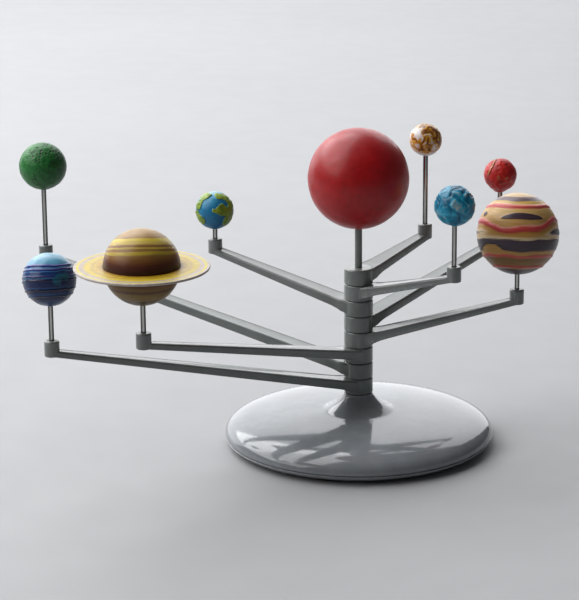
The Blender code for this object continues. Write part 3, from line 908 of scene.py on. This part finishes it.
NEPTUNE_STOPS = [
    (0.000, (10, 36, 76)), (0.140, (16, 58, 102)), (0.220, (12, 34, 80)), (0.275, (10, 18, 60)),
    (0.295, (10, 12, 52)), (0.308, (30, 74, 126)), (0.335, (14, 34, 84)), (0.358, (10, 14, 56)),
    (0.386, (10, 12, 50)), (0.398, (36, 80, 134)), (0.412, (16, 28, 82)), (0.455, (14, 44, 92)),
    (0.482, (14, 16, 66)), (0.506, (16, 20, 74)), (0.516, (66, 132, 178)), (0.526, (20, 26, 92)),
    (0.545, (24, 32, 104)), (0.560, (22, 70, 122)), (0.592, (20, 42, 110)), (0.602, (78, 146, 190)),
    (0.612, (28, 34, 116)), (0.634, (34, 38, 128)), (0.644, (90, 158, 196)), (0.656, (32, 40, 126)),
    (0.684, (46, 58, 144)), (0.697, (98, 164, 198)), (0.740, (98, 166, 200)), (0.860, (134, 188, 212)),
    (1.000, (160, 200, 218)),
]


def neptune_paint():
    return banded_paint(
        "neptune_paint", NEPTUNE_STOPS, patch=(18, 92, 118),
        wander=0.012, roughness=0.30, coat=0.15, strokes=0.2,
    )


def neptune_shape(direction, seen):
    turn = math.atan2(seen.x, seen.z)
    leant = seen.y * math.cos(0.06) - seen.x * math.sin(0.06)
    tone = level(leant) + 0.012 * math.sin(2.0 * turn + 0.5) + 0.012 * fog(seen, 2.6, 6.0)
    teal = oval(warped(seen, 3.0, 0.2, 4.0), (0.40, 0.02, 1.0), (0.40, 0.24), 6.0)
    low_teal = oval(warped(seen, 3.0, 0.2, 4.0), (-0.90, -0.05, 1.0), (0.16, 0.26))
    far_teal = oval(seen, (0.1, -0.1, -1.0), (0.4, 0.2))
    patch = 0.62 * step(max(teal, low_teal, far_teal), -0.1, 0.5)
    ribs = sum(ridge(tone, middle, 0.020) for middle in (0.292, 0.375, 0.49, 0.535, 0.622, 0.67))
    return 0.34 * ribs + 0.20 * fog(direction, 3.0, 8.0), tone, patch


def saturn_ring(material):
    """A thin flat ring, a little uneven, pushed over the globe to its equator."""
    low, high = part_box("saturn_ring")
    ball_low, ball_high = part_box("saturn_ball")
    outer = (high.x - low.x) / 2.0
    inner = (ball_high.x - ball_low.x) / 2.0 + SATURN_RING_GAP
    half = (high.z - low.z) / 2.0
    soft = 0.45 * half
    rows = 30
    top = [(inner + (outer - soft - inner) * i / rows, half) for i in range(rows + 1)]
    edge = arc((outer - soft, 0.0), (soft, half), 90.0, -90.0, 8)
    bottom = [(radius, -half) for radius, _ in reversed(top)]
    bm = turned(top + edge[1:-1] + bottom, steps=192, closed=True)
    tones = []
    for vertex in bm.verts:
        share = (math.hypot(vertex.co.x, vertex.co.y) - inner) / (outer - inner)
        tones.append(share)
        vertex.co.z += SATURN_RING_WAVE * fog(vertex.co, 60.0, 3.0) * share
        if vertex.co.z > 0.0:
            grooves = ridge(share, 0.30, 0.03) + ridge(share, 0.70, 0.03)
            vertex.co.z -= SATURN_RING_GROOVE * grooves
    made = make_object("saturn_ring_disc", bm, [material], sharp_angle=60.0)
    made.data.attributes.new("tone", "FLOAT", "POINT").data.foreach_set("value", tones)
    made.location = (low + high) / 2.0
    dress(made, "saturn", "saturn_ring")


# ---------------------------------------------------------------- light and camera

def area_light(name, place, size, power, colour):
    data = bpy.data.lights.new(name, "AREA")
    data.shape = "RECTANGLE"
    data.size, data.size_y = size
    data.energy = power
    data.color = colour
    light = bpy.data.objects.new(name, data)
    light.location = place
    light.rotation_euler = (TARGET - Vector(place)).to_track_quat("-Z", "Y").to_euler()
    bpy.context.scene.collection.objects.link(light)


def floor():
    surface = Surface("pale_floor")
    cloud = surface.noise(3.0)
    surface.set(
        Base_Color=surface.mix(cloud, linear(168, 169, 171), linear(178, 179, 181)),
        Roughness=surface.spread(surface.noise(40.0), 0.3, 0.7, 0.62, 0.72),
    )
    bm = bmesh.new()
    bmesh.ops.create_grid(bm, x_segments=8, y_segments=8, size=8.0)
    made = make_object("floor", bm, [surface.material])
    made.location = (0.0, 0.0, -FLOOR_DROP)


def studio():
    floor()
    world = bpy.data.worlds.new("studio_air")
    world.use_nodes = True
    background = world.node_tree.nodes["Background"]
    background.inputs["Color"].default_value = (0.86, 0.88, 0.92, 1.0)
    background.inputs["Strength"].default_value = 0.08
    bpy.context.scene.world = world
    # The one behind reaches down to the floor, so that the base mirrors no dark gap under it.
    area_light(
        "softbox_behind", place=(-0.55, 2.00, 1.05), size=(4.2, 2.5),
        power=60.0, colour=(0.97, 0.98, 1.0),
    )
    area_light(
        "softbox_above", place=(-0.95, 0.50, 1.40), size=(2.4, 1.8),
        power=44.0, colour=(0.99, 0.99, 1.0),
    )
    area_light(
        "softbox_left", place=(-1.25, -0.60, 0.95), size=(1.0, 1.0),
        power=6.0, colour=(1.0, 0.98, 0.96),
    )
    data = bpy.data.cameras.new("front_camera")
    data.lens = CAMERA_LENS
    data.shift_x, data.shift_y = CAMERA_SHIFT
    data.clip_start = 0.05
    camera = bpy.data.objects.new("front_camera", data)
    camera.location = CAMERA_PLACE
    camera.rotation_euler = (-CAMERA_BACK).to_track_quat("-Z", "Y").to_euler()
    bpy.context.scene.collection.objects.link(camera)
    bpy.context.scene.camera = camera
    bpy.context.scene.view_settings.view_transform = "Standard"


# ---------------------------------------------------------------- the object

BALLS = {
    "mercury": (mercury_paint, mercury_shape),
    "venus": (venus_paint, venus_shape),
    "earth": (earth_paint, earth_shape),
    "mars": (mars_paint, mars_shape),
    "jupiter": (jupiter_paint, jupiter_shape),
    "saturn": (saturn_paint, saturn_shape),
    "uranus": (uranus_paint, uranus_shape),
    "neptune": (neptune_paint, neptune_shape),
}


def build():
    base_plastic = moulded_plastic(
        "base_plastic", dark=(130, 134, 138), light=(142, 146, 150), pale=(186, 189, 193),
        roughness=0.10, grain=0.02, coat=0.20,
    )
    arm_plastic = moulded_plastic(
        "arm_plastic", dark=(102, 108, 105), light=(114, 119, 117), pale=(168, 173, 172),
        roughness=0.30, grain=0.02, coat=0.45,
    )
    steel = drawn_steel()
    base_dome(base_plastic)
    base_tray(base_plastic)
    upright("centre_post_core", "centre_post", "stand", arm_plastic, steps=64)
    upright("sun_rod_stem", "sun_rod", "stand", arm_plastic, steps=48)
    globe("sun_globe", "sun_ball", "stand", sun_paint(), sun_shape)
    for name, (paint, shape) in BALLS.items():
        arm(name, arm_plastic)
        upright(f"{name}_rod_wire", f"{name}_rod", name, steel, steps=32)
        globe(f"{name}_globe", f"{name}_ball", name, paint(), shape)
    saturn_ring(ring_paint())


build()
studio()
